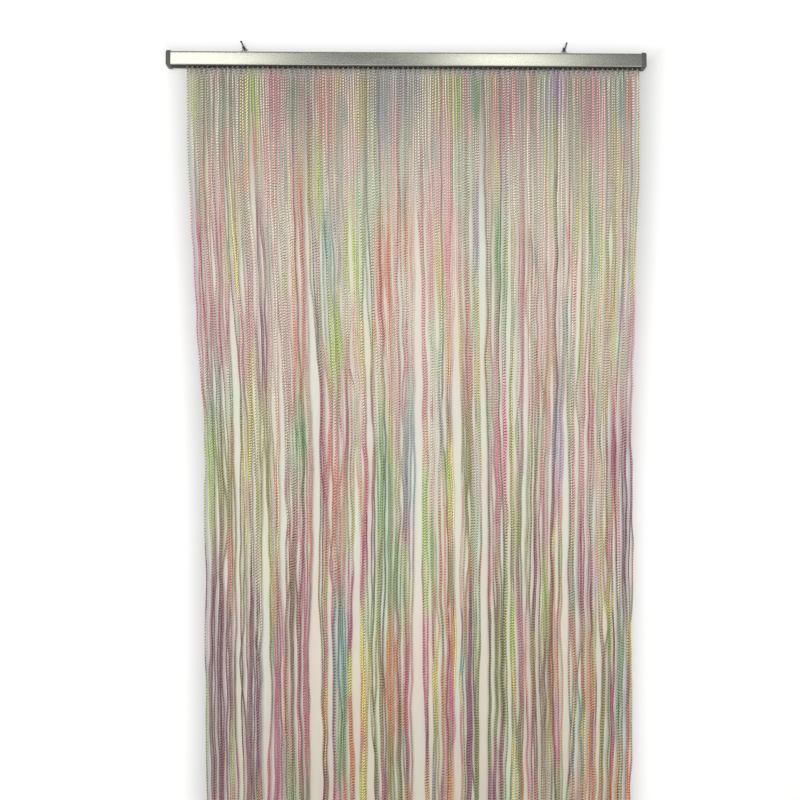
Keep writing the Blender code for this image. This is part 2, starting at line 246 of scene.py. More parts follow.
LEVELS = table("drop gathered loose", (
    (0.00, 0.00, 0.0),
    (0.05, 0.01, 0.2),
    (0.20, 0.14, 0.6),
    (0.40, 0.44, 0.9),
    (0.62, 0.72, 1.0),
    (0.88, 0.92, 1.0),
    (1.16, 1.00, 1.0),
    (1.50, 1.02, 1.0),
    (FINAL_DROP, 1.03, 1.0),
))

CLUMPS = table("strands left right", (
    (14, -0.3750, -0.3188),
    (11, -0.3075, -0.2700),
    (8, -0.2606, -0.2325),
    (14, -0.2269, -0.1800),
    (5, -0.1613, -0.1463),
    (12, -0.1425, -0.0994),
    (6, -0.0900, -0.0731),
    (21, -0.0638, 0.0113),
    (3, 0.0335, 0.0418),
    (6, 0.0469, 0.0656),
    (7, 0.0713, 0.0900),
    (11, 0.1050, 0.1369),
    (11, 0.1538, 0.1894),
    (7, 0.1950, 0.2213),
    (17, 0.2250, 0.2925),
    (5, 0.3030, 0.3172),
    (9, 0.3206, 0.3581),
    (15, 0.3619, 0.4240),
))
print(len(LEVELS), "levels and", len(CLUMPS), "clumps")


# %% The bends of each cord, level by level
def keep_apart(places, least):
    """Pushes neighbours apart until each pair has the least distance between them."""
    for turn in range(SETTLING_TURNS):
        for i in range(len(places) - 1):
            lack = least - (places[i + 1] - places[i])
            if lack > 0:
                places[i] -= lack / 2
                places[i + 1] += lack / 2
    for i in range(len(places) - 1):
        places[i + 1] = max(places[i + 1], places[i] + least)
    return places


def drawn_to_bundle(place, drop, loose):
    """Draws a strand towards the middle of its bundle. Bundles are one turn of a sine apart."""
    turn = 2 * math.pi * place / BUNDLE_PITCH
    turn += BUNDLE_UNEVEN["size"] * math.sin(place * BUNDLE_UNEVEN["per_metre"])
    drift = drop * BUNDLE_DRIFT["per_metre"] + place * BUNDLE_DRIFT["across"]
    turn += BUNDLE_DRIFT["size"] * math.sin(drift)
    return place - loose * BUNDLE_DRAW * BUNDLE_PITCH / (2 * math.pi) * math.sin(turn)


def strand_paths():
    """For each strand a list of (across, depth, drop), one for each level."""
    rng = random.Random(SEED)
    pitch = (LAST_STRAND - FIRST_STRAND) / (STRANDS - 1)
    tops = [FIRST_STRAND + i * pitch for i in range(STRANDS)]
    lows, clump_of = [], []
    for number, clump in enumerate(CLUMPS):
        width = clump["right"] - clump["left"]
        for i in range(clump["strands"]):
            lows.append(clump["left"] + width * (i + 0.5) / clump["strands"])
            clump_of.append(number)
    phases = [rng.uniform(0, 2 * math.pi) for clump in CLUMPS]
    row_phases = [[rng.uniform(0, 2 * math.pi) for clump in CLUMPS] for row in (0, 1)]
    ends = [FINAL_DROP + rng.uniform(-END_UNEVEN, END_UNEVEN) for i in range(STRANDS)]
    paths = [[] for i in range(STRANDS)]
    for number, level in enumerate(LEVELS):
        loose = level["loose"]
        places, depths = [], []
        for i in range(STRANDS):
            clump = clump_of[i]
            row = i % 2
            place = tops[i] + (lows[i] - tops[i]) * level["gathered"]
            place = drawn_to_bundle(place, level["drop"], loose)
            turn = phases[clump] + level["drop"] * CLUMP_SWAY["per_metre"]
            row_turn = row_phases[row][clump] + level["drop"] * ROW_SWAY["per_metre"]
            place += loose * CLUMP_SWAY["size"] * math.sin(turn)
            place += loose * ROW_SWAY["size"] * math.sin(row_turn)
            place += loose * OWN_SWAY * rng.uniform(-1, 1)
            places.append(place)
            side = 1 if row else -1
            depth = side * (ROW_OFFSET + loose * ROW_SPREAD)
            depths.append(RAIL_MIDDLE + depth + loose * DEPTH_SWAY * rng.uniform(-1, 1))
        for row in (0, 1):
            places[row::2] = keep_apart(places[row::2], LEAST_PITCH)
        last = number == len(LEVELS) - 1
        for i in range(STRANDS):
            drop = ends[i] if last else level["drop"]
            paths[i].append((places[i], depths[i], drop))
    return paths


paths = np.array(strand_paths())
lengths = paths[:, -1, 2]
print(len(paths), "cords,", round(lengths.min(), 3), "to", round(lengths.max(), 3), "m long")

# %% [markdown]
# From nine bends to a cord that hangs
#
# A cord does not turn sharply at nine places. Between the levels it follows a Hermite curve, whose
# slope at each level comes from the levels above and below. Then the cords get what makes them look
# like yarn. Cords that cling together wave together, so most of the waving comes from one soft random
# field that neighbours share, and only a little is each cord's own. Now and then a cord hangs slack
# in a belly, and its thickness is a little uneven. The waves fade out towards the rail, because the
# cords leave it side by side.

# %% Soft curves between the levels
POINTS = 300


def soft_curve(at, levels, values):
    """Hermite curve through the values at the levels, for a row of places."""
    slopes = np.gradient(values, levels)
    slopes[0] = 0.0
    step = np.clip(np.searchsorted(levels, at, side="right") - 1, 0, len(levels) - 2)
    length = levels[step + 1] - levels[step]
    t = (at - levels[step]) / length
    first = values[step] * (2 * t**3 - 3 * t**2 + 1) + values[step + 1] * (3 * t**2 - 2 * t**3)
    bend = slopes[step] * (t**3 - 2 * t**2 + t) + slopes[step + 1] * (t**3 - t**2)
    return first + bend * length


def soft_paths():
    """Arrays of across, depth and drop, a row for each cord and POINTS along it."""
    rows = []
    for path in paths:
        drop = np.linspace(0.0, path[-1, 2], POINTS)
        across = soft_curve(drop, path[:, 2], path[:, 0])
        depth = soft_curve(drop, path[:, 2], path[:, 1])
        rows.append((across, depth, drop))
    return [np.array(part) for part in zip(*rows)]


across, depth, drop = soft_paths()
print(POINTS, "points a cord,", round(1000 * FINAL_DROP / POINTS, 1), "mm apart")

# %% Random values that change softly
GRID = 192
GRID_LEFT = 0.5
GRID_ABOVE = 0.1
fine = np.random.default_rng(SEED)


def each(low, high):
    """One random number for each cord, as a column."""
    return fine.uniform(low, high, (STRANDS, 1))


def clouds(x, y):
    """Soft random values between 0 and 1. The places x and y are in steps of a grid, from 0 up."""
    grid = fine.uniform(0, 1, (GRID, GRID))
    i, j = np.floor(x).astype(int), np.floor(y).astype(int)
    u, v = x - i, y - j
    u, v = u * u * (3 - 2 * u), v * v * (3 - 2 * v)
    top = grid[i, j] * (1 - u) + grid[i + 1, j] * u
    foot = grid[i, j + 1] * (1 - u) + grid[i + 1, j + 1] * u
    return top * (1 - v) + foot * v


def wave(shortest, longest):
    """A sine wave of its own length and start for each cord."""
    return np.sin(2 * math.pi * (drop / each(shortest, longest) + each(0, 1)))


print("random fields of", GRID, "by", GRID, "values")

# %% Waves, slack bellies and uneven thickness
CORD_RADIUS = 0.0013
CORD_UNEVEN = (0.93, 1.06)
SHARED_WAVES = table("wide long size", (
    (0.011, 0.050, 0.0034),
    (0.020, 0.120, 0.0040),
    (0.006, 0.160, 0.0032),
))
OWN_WAVES = table("shortest longest size", (
    (0.07, 0.11, 0.00025),
    (0.13, 0.25, 0.00045),
))
OWN_WAVE_GAIN = (0.4, 1.5)
WAVES_START = 0.01
WAVES_FULL = 0.60
DEPTH_WAVE = 0.0006
DEPTH_WAVE_LENGTH = (0.12, 0.30)
SLACK_SHARE = 0.35
SLACK_SIZE = (0.003, 0.010)
SLACK_LENGTH = (0.030, 0.060)
SLACK_DROP = (0.30, 2.00)
SLUB = 0.10
SLUB_LENGTH = (0.020, 0.060)
SLUBBY_LENGTH = (0.11, 0.23)
ROW_PITCH = 0.0027
PUSHING_TURNS = 20


def waved(across, depth):
    """Adds the waves and bellies. The waves come in below the rail, soon at first and then slowly."""
    fade = np.sqrt(np.clip((drop - WAVES_START) / (WAVES_FULL - WAVES_START), 0, 1))
    place = across + GRID_LEFT
    for one in SHARED_WAVES:
        shared = clouds(place / one["wide"], drop / one["long"]) - 0.5
        across = across + fade * one["size"] * shared
    for one in OWN_WAVES:
        size = fade * one["size"] * each(*OWN_WAVE_GAIN)
        across = across + size * wave(one["shortest"], one["longest"])
    depth = depth + fade * DEPTH_WAVE * wave(*DEPTH_WAVE_LENGTH)
    slack = np.where(each(0, 1) < SLACK_SHARE, each(*SLACK_SIZE), 0.0)
    side = np.where(each(0, 1) < 0.5, -1.0, 1.0)
    away = (drop - each(*SLACK_DROP)) / each(*SLACK_LENGTH)
    return across + slack * side * np.exp(-away**2), depth


def rows_apart(across):
    """Cords of one row touch and push each other, but never pass through each other."""
    across = across.copy()
    for turn in range(PUSHING_TURNS):
        for i in range(STRANDS - 2):
            lack = np.clip(ROW_PITCH - (across[i + 2] - across[i]), 0, None)
            across[i] -= lack / 2
            across[i + 2] += lack / 2
    return across


across, depth = waved(across, depth)
across = rows_apart(across)
thick = CORD_RADIUS * each(*CORD_UNEVEN)
thick = thick * (1 + SLUB * wave(*SLUB_LENGTH) * wave(*SLUBBY_LENGTH))
print("cords are", round(2000 * thick.min(), 2), "to", round(2000 * thick.max(), 2), "mm thick")

# %% [markdown]
# How such yarn is dyed
#
# Space-dyed yarn is printed with short stretches of different dyes that run into each other, so a
# cord changes colour along its length, and so do its neighbours, each in its own way. The upper part
# of this curtain is mostly pale and the lower part stronger. Two layers make this: each cord's own
# changes, and over them blooms of stronger dye across several cords, whose places are listed.
# Last, each cord gets its own tone, lighter or darker, and a painted shadow of the rail at its top.

# %% The dyes, and how often each one comes in the upper and the lower part
DYES = table("name colour above below", (
    ("cream", (0.950, 0.900, 0.820), 2.2, 0.6),
    ("shell", (0.950, 0.800, 0.780), 2.0, 0.4),
    ("pink", (0.940, 0.590, 0.660), 2.1, 0.7),
    ("rose", (0.850, 0.420, 0.530), 0.8, 1.1),
    ("magenta", (0.760, 0.330, 0.500), 0.3, 0.9),
    ("plum", (0.560, 0.280, 0.400), 0.1, 0.9),
    ("coral", (0.930, 0.520, 0.440), 0.8, 0.8),
    ("orange", (0.920, 0.560, 0.330), 0.3, 1.2),
    ("peach", (0.950, 0.740, 0.580), 0.7, 0.5),
    ("yellow", (0.940, 0.880, 0.420), 1.5, 1.0),
    ("ochre", (0.820, 0.660, 0.380), 0.3, 1.0),
    ("lime", (0.740, 0.840, 0.340), 1.1, 1.2),
    ("olive", (0.620, 0.610, 0.320), 0.4, 1.4),
    ("green", (0.480, 0.680, 0.420), 0.4, 0.9),
    ("mint", (0.730, 0.880, 0.710), 1.3, 0.4),
    ("sage", (0.620, 0.680, 0.570), 0.8, 0.6),
    ("teal", (0.380, 0.640, 0.620), 0.7, 0.5),
    ("steel", (0.550, 0.620, 0.670), 0.4, 0.2),
    ("lavender", (0.760, 0.630, 0.820), 0.7, 0.2),
    ("grey", (0.550, 0.530, 0.510), 0.4, 0.5),
    ("brown", (0.600, 0.460, 0.340), 0.2, 1.0),
))


def linear(colour):
    """Turns a colour as seen on a screen into amounts of light."""
    return np.array([c / 12.92 if c <= 0.04045 else ((c + 0.055) / 1.055) ** 2.4 for c in colour])


LIGHT = {dye["name"]: linear(dye["colour"]) for dye in DYES}
print(len(LIGHT), "dyes")

# %% Where the stronger dyes are: centimetres from the rail's middle and below its foot
BLOOMS = table("dye across down wide long strength", (
    ("lime", -40.0, 4, 1.5, 4, 0.7),
    ("sage", -37.5, 6, 1.5, 6, 0.6),
    ("lime", -29.0, 4, 1.5, 5, 0.7),
    ("pink", -25.0, 6, 1.5, 7, 0.6),
    ("sage", -21.5, 4, 1.5, 5, 0.7),
    ("coral", -15.0, 11, 2.0, 5, 0.5),
    ("steel", -5.0, 5, 2.0, 6, 0.6),
    ("steel", 0.0, 4, 2.5, 5, 0.5),
    ("lime", 9.0, 4, 1.5, 5, 0.8),
    ("green", 13.5, 4, 1.0, 4, 0.7),
    ("rose", 18.0, 6, 2.0, 6, 0.7),
    ("lavender", 28.0, 4, 2.0, 5, 0.5),
    ("rose", 34.0, 6, 1.5, 6, 0.5),
    ("teal", 40.5, 4, 0.6, 4, 0.6),
    ("coral", 42.0, 7, 0.6, 5, 0.6),
    ("magenta", -38.5, 33, 1.0, 7, 0.6),
    ("magenta", -35.5, 32, 1.0, 7, 0.8),
    ("coral", -29.0, 15, 1.0, 4, 0.6),
    ("plum", -27.5, 34, 1.0, 8, 0.8),
    ("coral", -20.5, 24, 0.8, 6, 0.8),
    ("orange", -20.5, 35, 0.8, 6, 0.7),
    ("lime", -16.5, 21, 0.6, 8, 0.7),
    ("teal", -14.5, 33, 1.3, 6, 0.9),
    ("lime", -10.0, 36, 1.7, 6, 0.6),
    ("coral", -4.5, 39, 1.5, 8, 0.9),
    ("orange", -0.5, 32, 1.5, 7, 0.7),
    ("lavender", 13.5, 29, 0.8, 6, 0.8),
    ("pink", 8.0, 34, 0.8, 9, 0.7),
    ("green", 17.5, 32, 1.3, 7, 0.7),
    ("rose", 21.5, 38, 1.0, 6, 0.6),
    ("coral", 30.5, 32, 0.6, 7, 0.7),
    ("green", 35.0, 29, 0.8, 7, 0.7),
    ("yellow", 6.0, 38, 0.8, 6, 0.8),
    ("yellow", 39.0, 47, 0.6, 8, 0.6),
    ("rose", -38.0, 48, 1.7, 9, 0.6),
    ("magenta", -34.5, 47, 1.0, 8, 0.8),
    ("plum", -27.0, 51, 1.2, 9, 0.9),
    ("coral", -20.5, 52, 1.2, 11, 0.8),
    ("green", -20.0, 70, 1.0, 6, 0.8),
    ("lime", -13.5, 52, 1.5, 6, 0.7),
    ("coral", -14.0, 79, 0.8, 6, 0.8),
    ("rose", -15.5, 74, 0.7, 12, 0.7),
    ("magenta", -11.0, 72, 0.8, 12, 0.7),
    ("lime", -37.0, 77, 1.0, 8, 0.9),
    ("olive", -34.0, 78, 1.5, 8, 0.8),
    ("olive", -26.5, 77, 1.3, 8, 0.8),
    ("green", -4.5, 75, 1.2, 9, 0.7),
    ("steel", 0.5, 75, 1.0, 10, 0.8),
    ("rose", -7.5, 75, 1.0, 10, 0.7),
    ("rose", 11.5, 56, 0.8, 9, 0.7),
    ("green", 18.0, 44, 1.8, 6, 0.6),
    ("lime", 33.0, 48, 0.7, 8, 0.7),
    ("coral", 26.5, 63, 0.6, 6, 0.8),
    ("lavender", 28.5, 73, 0.8, 6, 0.8),
    ("rose", 34.5, 66, 1.1, 9, 0.6),
    ("magenta", 39.0, 70, 1.2, 6, 0.7),
    ("plum", 41.5, 75, 0.8, 9, 0.8),
    ("lime", 7.5, 77, 0.6, 5, 0.9),
    ("olive", 11.5, 75, 0.8, 10, 0.7),
    ("pink", 17.5, 74, 1.7, 9, 0.7),
    ("plum", -35.0, 118, 1.8, 17, 0.9),
    ("plum", -29.0, 121, 1.1, 15, 0.8),
    ("magenta", -24.0, 122, 0.8, 15, 0.8),
    ("rose", -19.5, 110, 1.0, 14, 0.9),
    ("brown", -21.5, 104, 1.0, 14, 0.6),
    ("teal", -12.5, 111, 1.1, 8, 0.7),
    ("green", -12.5, 126, 0.8, 6, 0.9),
    ("magenta", -7.5, 90, 0.9, 6, 0.8),
    ("green", -3.0, 93, 1.3, 10, 0.6),
    ("orange", -3.0, 118, 1.0, 10, 1.0),
    ("rose", 0.5, 117, 0.8, 11, 0.7),
    ("olive", -5.5, 121, 0.8, 10, 0.7),
    ("orange", 11.5, 99, 0.6, 5, 0.7),
    ("plum", 12.0, 116, 0.7, 15, 0.8),
    ("rose", 8.0, 119, 0.6, 9, 0.9),
    ("olive", 17.5, 112, 1.0, 8, 0.8),
    ("lime", 26.0, 99, 0.8, 6, 0.9),
    ("magenta", 24.5, 95, 0.7, 5, 0.8),
    ("pink", 21.5, 107, 0.9, 8, 0.6),
    ("brown", 25.5, 118, 1.5, 13, 0.6),
    ("magenta", 33.0, 91, 0.8, 8, 0.8),
    ("olive", 37.0, 123, 1.0, 10, 0.7),
    ("green", 40.5, 114, 0.6, 10, 0.8),
    ("orange", 41.5, 130, 0.6, 6, 0.8),
    ("plum", 41.5, 91, 0.8, 8, 0.6),
    ("olive", -2.5, 133, 1.2, 6, 0.6),
))
print(len(BLOOMS), "blooms of stronger dye")

# %% The colour of every point of every cord
DYE_WIDTH = 0.015
DYE_LENGTH = 0.15
CORD_SHIFT = 0.0055
HEIGHT_SHIFT = 0.05
SHARPNESS = 8.0
TINY = 0.001
DEEPER_FROM = 0.45
DEEPER_TO = 1.10
CM_IN_METRE = 100
BLOOM_GAIN = (0.55, 1.75)
BLOOM_FALL = 0.7
BLOOM_SHIFT = 0.045
BLOOM_ABOVE = 1.05
BLOOM_BELOW = 2.10
NATURAL = (0.90, 0.82, 0.75)
NATURAL_SHARE = 0.45
PALEST = 0.25
PALE_LENGTH = 0.3
PALE_STARTS = 100
TONE = (0.96, 1.28)
DARK_TONE = (0.50, 0.85)
DARK_SHARE = 0.14
TONE_ABOVE = 1.15
TONE_BELOW = 0.95
RAIL_PAINTED_SHADOW_TONE = 0.12
RAIL_PAINTED_SHADOW_DROP = 0.017

deeper = np.clip((drop - DEEPER_FROM) / (DEEPER_TO - DEEPER_FROM), 0, 1)


def own_changes():
    """Dyes that run into each other along a cord, with the yarn's natural tone mixed in above."""
    x = (across + GRID_LEFT + each(-CORD_SHIFT, CORD_SHIFT)) / DYE_WIDTH
    y = (drop + GRID_ABOVE + each(-HEIGHT_SHIFT, HEIGHT_SHIFT)) / DYE_LENGTH
    total, colour = 0.0, 0.0
    for dye in DYES:
        often = dye["above"] * (1 - deeper) + dye["below"] * deeper
        share = (often / -np.log(np.clip(clouds(x, y), TINY, 1 - TINY))) ** SHARPNESS
        total = total + share
        colour = colour + share[..., None] * LIGHT[dye["name"]]
    share = (NATURAL_SHARE * (1 - deeper))[..., None]
    return colour / total[..., None] * (1 - share) + linear(NATURAL) * share


def with_blooms(colour):
    """Lays the stronger dyes over the pale ones, each cord taking more or less of them."""
    for bloom in BLOOMS:
        x, z = bloom["across"] / CM_IN_METRE, bloom["down"] / CM_IN_METRE
        aside = (across - x) / (bloom["wide"] / CM_IN_METRE)
        below = (drop - z - each(-BLOOM_SHIFT, BLOOM_SHIFT)) / (bloom["long"] / CM_IN_METRE)
        fall = np.exp(-BLOOM_FALL * (aside**4 + below**2))
        share = bloom["strength"] * each(*BLOOM_GAIN) * fall
        share = share * (BLOOM_ABOVE + (BLOOM_BELOW - BLOOM_ABOVE) * deeper)
        share = np.clip(share, 0, 1)[..., None]
        colour = colour * (1 - share) + LIGHT[bloom["dye"]] * share
    return colour


def washed_out_and_rail_shadow(colour):
    """Some cords took less dye, some are darker all along, and all get the rail's shadow painted on
    top.
    """
    share = (each(0, PALEST) * clouds(each(0, PALE_STARTS), drop / PALE_LENGTH))[..., None]
    colour = colour * (1 - share) + LIGHT["cream"] * share
    tone = np.where(each(0, 1) < DARK_SHARE, each(*DARK_TONE), each(*TONE))
    # Every cord is a little lighter above and darker towards the bottom.
    tone = tone * (TONE_ABOVE + (TONE_BELOW - TONE_ABOVE) * deeper)
    # Painted shadow of the rail: each cord is darkened at its top, less and less over its first 17 mm.
    tone = tone * (RAIL_PAINTED_SHADOW_TONE + (1 - RAIL_PAINTED_SHADOW_TONE) * np.clip(drop / RAIL_PAINTED_SHADOW_DROP, 0, 1))
    return colour * tone[..., None]


dyed = washed_out_and_rail_shadow(with_blooms(own_changes()))
for above, below in ((0.0, 0.2), (0.2, 0.6), (0.6, 1.0), (1.0, 1.4)):
    part = dyed[(drop >= above) & (drop < below)]
    print("mean dye from", above, "to", below, "m:", [round(float(c), 3) for c in part.mean(axis=0)])

# %% [markdown]
# The finish of a twisted cord
#
# Each cord is twisted hard, and one deep groove winds around it. The groove comes round to the front
# about every 5 mm, and its shade makes the row of small dark dots on a cord. Modelling the twist would
# take millions of faces, so the material works it out: a bump gives the relief, and the dots are
# painted shade in the groove. The path keeps its own middle and length as attributes. From these and
# the place on the surface comes the angle around the cord, and that angle plus the turns along the
# length is the phase of the twist. How tight the twist is and how dark the groove's painted shade is
# differ from cord to cord. That darkness is kept as the fourth value of the dye.

# %% Twisted, dyed cord
TWIST_LEAD = 0.0052
TWIST_WANDER = 0.003
GROOVE_SHADE_BAND = (0.15, 0.58)
GROOVE_PAINTED_SHADE = (0.13, 0.12, 0.11, 1)
PALE_FIBRE = (0.95, 0.93, 0.88, 1)
CORD_RELIEF = 0.0009


def twisted_cord():
    material, start = new_finish("twisted_cord")
    dye = kept(start, "dye")
    shade_strength = kept(start, "dye", "Alpha")
    out = {0: place_on(start), 1: kept(start, "middle", "Vector")}
    out = start.node("ShaderNodeVectorMath", {"operation": "SUBTRACT"}, out)
    angle = start.sum("ARCTAN2", axis(start, out, "Y"), axis(start, out, "X"))
    along = kept(start, "along", "Fac") + noise(start, (30, 30, 30)) * TWIST_WANDER
    phase = angle + along * (2 * math.pi / TWIST_LEAD)
    ply = start.sum("COSINE", phase) * 0.5 + 0.5
    groove_shade_mask = 1 - ease(start, ply, *GROOVE_SHADE_BAND)
    fibre = noise(start, (1500, 1500, 500), detail=3.0)
    fade = noise(start, (90, 90, 60))
    crest_colour = mix(start, fibre * 0.7, dye, mix(start, 0.35, dye, PALE_FIBRE))
    # Painted shade: in the groove of the twist the dye is darkened, which makes the dots.
    dark = mix(start, 1.0, dye, GROOVE_PAINTED_SHADE, "MULTIPLY")
    colour = mix(start, groove_shade_mask * shade_strength * (0.6 + 0.7 * fade), crest_colour, dark)
    normal = bump(start, ply + fibre * 0.3, CORD_RELIEF)
    finish(start, Base_Color=colour, Roughness=0.95 - 0.2 * fibre, Normal=normal, Sheen_Weight=0.15)
    return material


cord_finish = twisted_cord()
print("made", cord_finish.name)

# %% [markdown]
# From a path to a cord
#
# A cord is a small polygon swept along its path. Geometry Nodes do that for all the paths at once:
# Mesh to Curve makes a curve of each chain of edges, and Curve to Mesh sweeps a circle along it,
# scaled by the thickness that is kept on each point. The attributes travel along to the new points,
# so the finish can read them. The result is kept as a plain mesh, and the modifier goes.


# %% Helpers for node trees
def new_tree(name, inputs, output):
    """A tree with named inputs and one output, and the nodes where they come in and go out."""
    tree = bpy.data.node_groups.new(name, "GeometryNodeTree")
    for label, kind in inputs.items():
        tree.interface.new_socket(name=label, in_out="INPUT", socket_type="NodeSocket" + kind)
    tree.interface.new_socket(name=output, in_out="OUTPUT", socket_type="NodeSocketGeometry")
    return tree, tree.nodes.new("NodeGroupInput"), tree.nodes.new("NodeGroupOutput")


def link_rows(tree, rows):
    """Links nodes. A row names a node and its output, then the next node and its input."""
    for first, output, second, entry in rows:
        tree.links.new(first.outputs[output], second.inputs[entry])


def put_tree(piece, tree, values):
    """Puts a tree on a piece as a modifier, and sets its inputs by the sockets' identifiers."""
    modifier = piece.modifiers.new(tree.name, "NODES")
    modifier.node_group = tree
    for socket in tree.interface.items_tree:
        if socket.name in values:
            modifier[socket.identifier] = values[socket.name]


print("tree helpers are ready")

# %% A node tree that sweeps a cord
CORNERS_OF_SIDE = 4


def cord_tree():
    """Sweeps a circle along the paths. The sides are shaded round, but not the ends of the cords."""
    inputs = {"Paths": "Geometry", "Sides": "Int", "Finish": "Material"}
    tree, given, result = new_tree("cords_on_paths", inputs, "Cords")
    add = tree.nodes.new
    curves, circle = add("GeometryNodeMeshToCurve"), add("GeometryNodeCurvePrimitiveCircle")
    thickness, sweep = add("GeometryNodeInputNamedAttribute"), add("GeometryNodeCurveToMesh")
    corners, few = add("GeometryNodeInputMeshFaceNeighbors"), add("FunctionNodeCompare")
    smooth, real = add("GeometryNodeSetShadeSmooth"), add("GeometryNodeRealizeInstances")
    coat = add("GeometryNodeSetMaterial")
    thickness.data_type = "FLOAT"
    thickness.inputs["Name"].default_value = "thick"
    circle.inputs["Radius"].default_value = 1.0
    sweep.inputs["Fill Caps"].default_value = True
    few.data_type = "INT"
    few.operation = "LESS_EQUAL"
    few.inputs["B"].default_value = CORNERS_OF_SIDE
    link_rows(tree, (
        (given, "Paths", curves, "Mesh"),
        (given, "Sides", circle, "Resolution"),
        (curves, "Curve", sweep, "Curve"),
        (circle, "Curve", sweep, "Profile Curve"),
        (thickness, "Attribute", sweep, "Scale"),
        (sweep, "Mesh", smooth, "Geometry"),
        (corners, "Vertex Count", few, "A"),
        (few, "Result", smooth, "Selection"),
        (smooth, "Geometry", real, "Geometry"),
        (real, "Geometry", coat, "Geometry"),
        (given, "Finish", coat, "Material"),
        (coat, "Geometry", result, "Cords"),
    ))
    return tree


cords_on_paths = cord_tree()
print("tree inputs:", [s.name for s in cords_on_paths.interface.items_tree if s.in_out == "INPUT"])


# %% Paths as a mesh of edges, with what the finish needs on each point
ROOT_DEPTH = 0.0005
twist_start = each(0, TWIST_LEAD)
twist_rate = each(0.90, 1.10)
# How dark the painted shade in each cord's groove is.
groove_shade_strength = each(0.60, 1.15)


def path_mesh(name, chosen):
    """Edges along the chosen cords, with thickness, length, middle and dye on every point."""
    rows = []
    for i in chosen:
        height = STRIP_FOOT - drop[i]
        height[0] = STRIP_FOOT + ROOT_DEPTH
        rows.append(np.stack([across[i], depth[i], height], axis=1))
    points = np.concatenate(rows)
    firsts = [n * POINTS + i for n in range(len(rows)) for i in range(POINTS - 1)]
    edges = [(first, first + 1) for first in firsts]
    mesh = bpy.data.meshes.new(name)
    mesh.from_pydata(points.tolist(), edges, [])
    shade_strength = np.repeat(groove_shade_strength[chosen], POINTS, axis=0)
    colours = np.concatenate([dyed[chosen].reshape(-1, 3), shade_strength], axis=1)
    along = drop[chosen] * twist_rate[chosen] + twist_start[chosen]
    for attribute, kind, field, values in (
        ("thick", "FLOAT", "value", thick[chosen]),
        ("along", "FLOAT", "value", along),
        ("middle", "FLOAT_VECTOR", "vector", points),
        ("dye", "FLOAT_COLOR", "color", colours),
    ):
        made = mesh.attributes.new(attribute, kind, "POINT")
        made.data.foreach_set(field, np.ascontiguousarray(values, np.float32).ravel())
    return mesh


print("the cords start", 1000 * ROOT_DEPTH, "mm up in the strip")


# %% One piece of many cords
CORD_SIDES = 6


def sweep_cords(name, chosen):
    """The chosen cords as a plain mesh, without the modifier that made them."""
    source = add_object(name + "_paths", path_mesh(name + "_paths", chosen))
    put_tree(source, cords_on_paths, {"Sides": CORD_SIDES, "Finish": cord_finish})
    evaluated = source.evaluated_get(bpy.context.evaluated_depsgraph_get())
    mesh = bpy.data.meshes.new_from_object(evaluated)
    bpy.data.objects.remove(source)
    mesh.name = name
    return add_object(name, mesh)


# %% All the cords, in five pieces
PIECE_LETTERS = "abcde"

cord_pieces = []
shares = np.array_split(np.arange(STRANDS), len(PIECE_LETTERS))
for letter, chosen in zip(PIECE_LETTERS, shares):
    piece = sweep_cords("strands_" + letter, chosen)
    cord_pieces.append(piece)
    triangles = sum(len(face.vertices) - 2 for face in piece.data.polygons)
    print(piece.name, len(chosen), "cords,", triangles, "triangles")

# %% [markdown]
# The strip that carries the loops
#
# The loops hang on a black strip with a T-shaped section, which slides into the rail from its end.
# Its wings lie in the rail, and its body stands out below, as the dark line between metal and cords.
# The section has rounded corners and two shallow channels, where the legs of the loops come out.

# %% Clip strip
WING_THICK = 0.0030
BODY_HALF = 0.0061
STRIP_CORNER = 0.0006
CHANNEL_HALF = 0.0016
CHANNEL_DEEP = 0.0004
CORNER_STEPS = 4


def corner(y, z, start):
    """Points of a rounded corner at y and z, whose arc starts at an angle in degrees."""
    turn = math.radians(start + 45)
    y -= math.copysign(STRIP_CORNER, math.cos(turn))
    z -= math.copysign(STRIP_CORNER, math.sin(turn))
    angles = [math.radians(start + 90 * i / CORNER_STEPS) for i in range(CORNER_STEPS + 1)]
    return [(y + STRIP_CORNER * math.cos(a), z + STRIP_CORNER * math.sin(a)) for a in angles]


def strip_outline(low, high):
    """Cross-section in depth and height, with two channels in the underside of the body."""
    wing_bottom = high.z - WING_THICK
    near, far = RAIL_MIDDLE - BODY_HALF, RAIL_MIDDLE + BODY_HALF
    outline = corner(high.y, high.z, 0) + corner(low.y, high.z, 90) + corner(low.y, wing_bottom, 180)
    outline += [(near, wing_bottom)] + corner(near, STRIP_FOOT, 180)
    for centre in (RAIL_MIDDLE - ROW_OFFSET, RAIL_MIDDLE + ROW_OFFSET):
        outline += [
            (centre - CHANNEL_HALF, STRIP_FOOT),
            (centre - CHANNEL_HALF / 2, STRIP_FOOT + CHANNEL_DEEP),
            (centre + CHANNEL_HALF / 2, STRIP_FOOT + CHANNEL_DEEP),
            (centre + CHANNEL_HALF, STRIP_FOOT),
        ]
    outline += corner(far, STRIP_FOOT, 270) + [(far, wing_bottom)]
    return outline + corner(high.y, wing_bottom, 270)


def make_strip(low, high):
    """The outline at both ends of the strip, with faces between them and over them."""
    shape = bmesh.new()
    outline = strip_outline(low, high)
    left, right = [[shape.verts.new((x, y, z)) for y, z in outline] for x in (low.x, high.x)]
    for i in range(len(outline)):
        after = (i + 1) % len(outline)
        shape.faces.new((left[i], left[after], right[after], right[i]))
    shape.faces.new(left)
    shape.faces.new(right)
    bmesh.ops.recalc_face_normals(shape, faces=shape.faces)
    mesh = bpy.data.meshes.new("clip_strip")
    shape.to_mesh(mesh)
    shape.free()
    return add_object("clip_strip", mesh)


